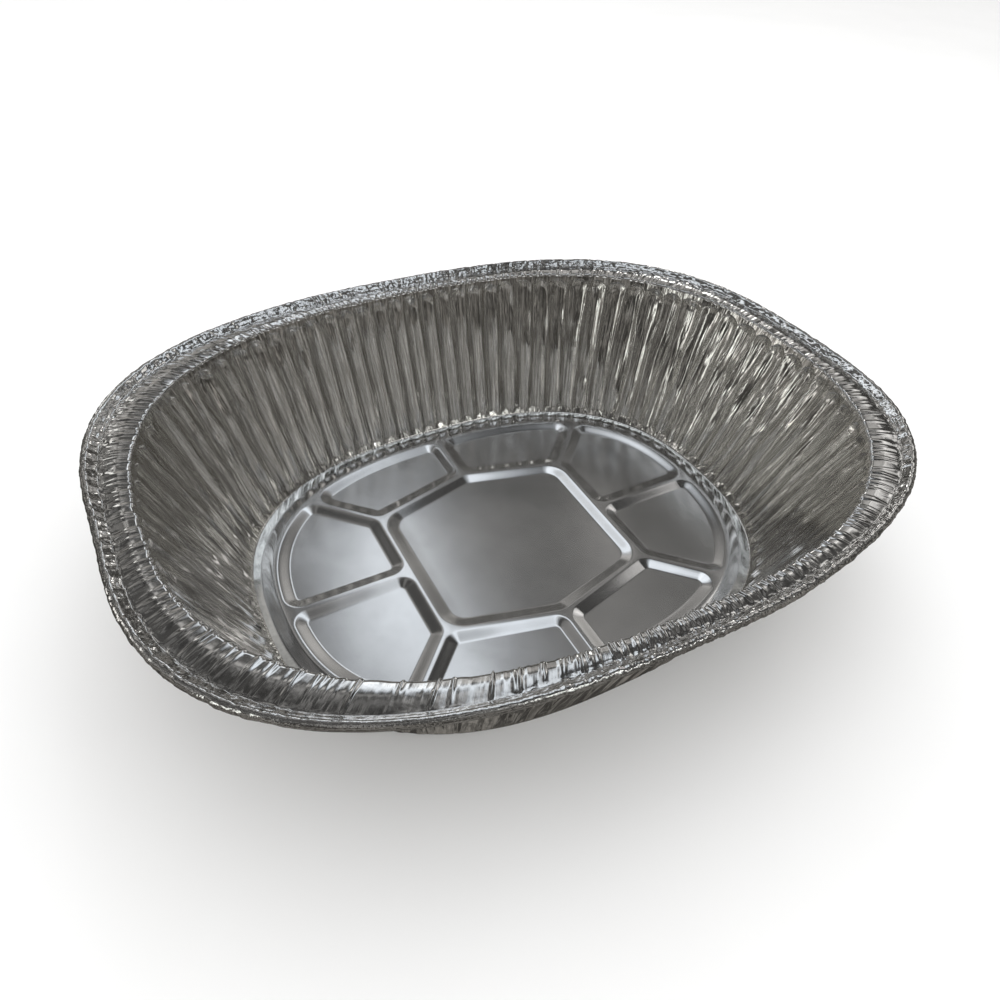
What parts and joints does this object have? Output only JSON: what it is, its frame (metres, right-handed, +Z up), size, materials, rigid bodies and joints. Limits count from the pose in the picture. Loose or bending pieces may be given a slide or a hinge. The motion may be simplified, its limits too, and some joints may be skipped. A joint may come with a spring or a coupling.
{
  "type": "foil roasting pan",
  "caption": "Deep oval roasting pan pressed from one sheet of aluminium foil, with fluted walls, a rolled rim and a ribbed bottom with sunken panels.",
  "frame": {"origin": "middle of the underside, on the surface that the pan stands on", "axes": "+X along the length, +Y across the width, +Z up out of the pan"},
  "size_m": [0.4616, 0.36, 0.1047],
  "materials": {
    "foil": "bright rolled foil, creased"
  },
  "bodies": {
    "root": {"foil_pan": "foil"}
  },
  "joints": []
}
